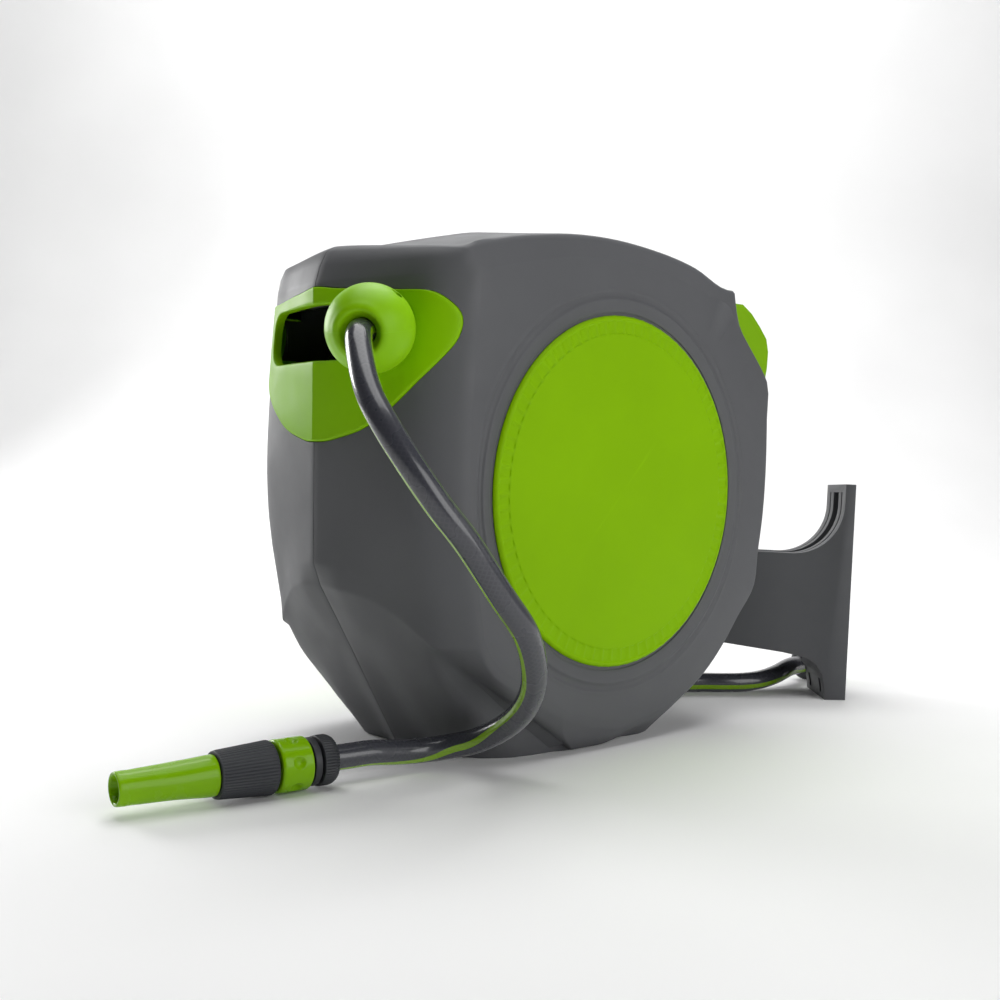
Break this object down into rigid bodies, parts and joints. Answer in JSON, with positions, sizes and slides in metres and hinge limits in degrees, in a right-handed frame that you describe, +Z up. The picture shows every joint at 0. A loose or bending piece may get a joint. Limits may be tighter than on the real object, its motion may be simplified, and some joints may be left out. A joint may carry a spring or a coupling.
{
  "type": "retractable hose reel",
  "caption": "Wall-mounted retractable garden hose reel: two-shell case with spring drum, fairlead with rollers, hose stopper ball, spray nozzle, supply hose and swivel wall bracket",
  "frame": {"origin": "on the case's flat foot, straight below the drum axis, on the seam between the two shells", "axes": "-X is the front where the hose leaves, +X the rear with the handle and the wall bracket, the drum axis runs along Y with the plain disc towards -Y, +Z is up"},
  "size_m": [0.7594, 0.5329, 0.3913],
  "materials": {
    "case_grey": "fine moulded grain",
    "green_plastic": "satin moulded",
    "plate_green": "satin moulded",
    "dark_plastic": "satin moulded",
    "steel": "bright",
    "brass": "turned",
    "hose_pvc": "soft satin PVC",
    "rubber": "matt"
  },
  "bodies": {
    "case": {"left_shell": "case_grey", "right_shell": "case_grey", "disc_cover_left": "green_plastic", "disc_cover_right": "green_plastic", "fairlead_plate": "plate_green", "roller_pin_lower": "steel", "roller_pin_upper": "steel", "case_screw_1": "steel", "case_screw_2": "steel", "case_screw_3": "steel", "case_screw_4": "steel", "case_screw_5": "steel", "case_screw_6": "steel", "case_screw_7": "steel", "carry_handle": "green_plastic", "handle_screw_left": "steel", "handle_screw_right": "steel", "spring_arbor": "steel", "inlet_axle": "brass", "o_ring_inner": "rubber", "o_ring_outer": "rubber", "union_nut": "dark_plastic", "inlet_elbow": "dark_plastic", "pawl_pin": "steel", "pawl_spring": "steel", "hinge_block": "case_grey", "hinge_pin": "steel", "hinge_clip": "steel", "supply_hose": "hose_pvc"},
    "drum": {"drum_core": "dark_plastic", "drum_flange_left": "dark_plastic", "drum_flange_right": "dark_plastic", "spring_cup": "dark_plastic", "spring_lid": "dark_plastic", "mainspring": "steel", "ratchet_ring": "dark_plastic", "bush_left": "brass", "bush_right": "brass", "hub_outlet": "brass", "hose_inner_layers": "hose_pvc", "hose_winding": "hose_pvc"},
    "free_end": {"free_hose": "hose_pvc", "stopper_top": "green_plastic", "stopper_bottom": "green_plastic", "stopper_screw_near": "steel", "stopper_screw_far": "steel", "hose_nut": "dark_plastic", "hose_body": "dark_plastic", "nozzle_stem": "dark_plastic", "nozzle_grip": "dark_plastic"},
    "hose_collar_ring": {"hose_collar": "green_plastic"},
    "nozzle_barrel": {"nozzle_tip": "green_plastic"},
    "lower_roller": {"guide_roller_lower": "steel"},
    "upper_roller": {"guide_roller_upper": "steel"},
    "pawl_lever": {"pawl": "dark_plastic"},
    "bracket": {"wall_bracket": "dark_plastic", "supply_hose_end": "hose_pvc", "supply_nut": "dark_plastic", "supply_body": "dark_plastic"},
    "supply_collar_ring": {"supply_collar": "green_plastic"}
  },
  "joints": [
    {"name": "drum_spin", "type": "hinge", "parent": "case", "child": "drum", "pos_m": [0, 0, 0.19], "axis": [0, -1, 0], "range_deg": [0, 35.5], "stiffness_Nm_per_rad": 0.15, "springref_deg": -171.89},
    {"name": "hose_draw", "type": "slide", "parent": "case", "child": "free_end", "axis": [-0.803, -0.596, 0], "range_m": [0, 0.09], "deforming": ["free_hose"]},
    {"name": "lower_roller_spin", "type": "hinge", "parent": "case", "child": "lower_roller", "pos_m": [-0.162, 0, 0.278], "axis": [0, 1, 0], "continuous": true},
    {"name": "upper_roller_spin", "type": "hinge", "parent": "case", "child": "upper_roller", "pos_m": [-0.158, 0, 0.3265], "axis": [0, 1, 0], "continuous": true},
    {"name": "pawl_swing", "type": "hinge", "parent": "case", "child": "pawl_lever", "pos_m": [-0.056, -0.0875, 0.272], "axis": [0, -1, 0], "range_deg": [-12, 7], "stiffness_Nm_per_rad": 0.005, "springref_deg": 5.73},
    {"name": "bracket_swivel", "type": "hinge", "parent": "case", "child": "bracket", "pos_m": [0.222, 0, 0.09], "axis": [0.0523, 0, 0.9986], "range_deg": [-47, 133], "deforming": ["supply_hose_end"]},
    {"name": "hose_collar_slide", "type": "slide", "parent": "free_end", "child": "hose_collar_ring", "axis": [0.9906, -0.1369, 0], "range_m": [0, 0.0035], "stiffness_N_per_m": 400},
    {"name": "nozzle_twist", "type": "hinge", "parent": "free_end", "child": "nozzle_barrel", "pos_m": [-0.33635, -0.04273, 0.0176], "axis": [-0.9906, 0.1369, 0], "range_deg": [-90, 90]},
    {"name": "supply_collar_slide", "type": "slide", "parent": "bracket", "child": "supply_collar_ring", "axis": [-0.995, -0.1, 0], "range_m": [0, 0.0035], "stiffness_N_per_m": 400}
  ],
  "couplings": [
    {"joint": "hose_draw", "follows": "drum_spin", "m_per_rad": 0.145}
  ]
}
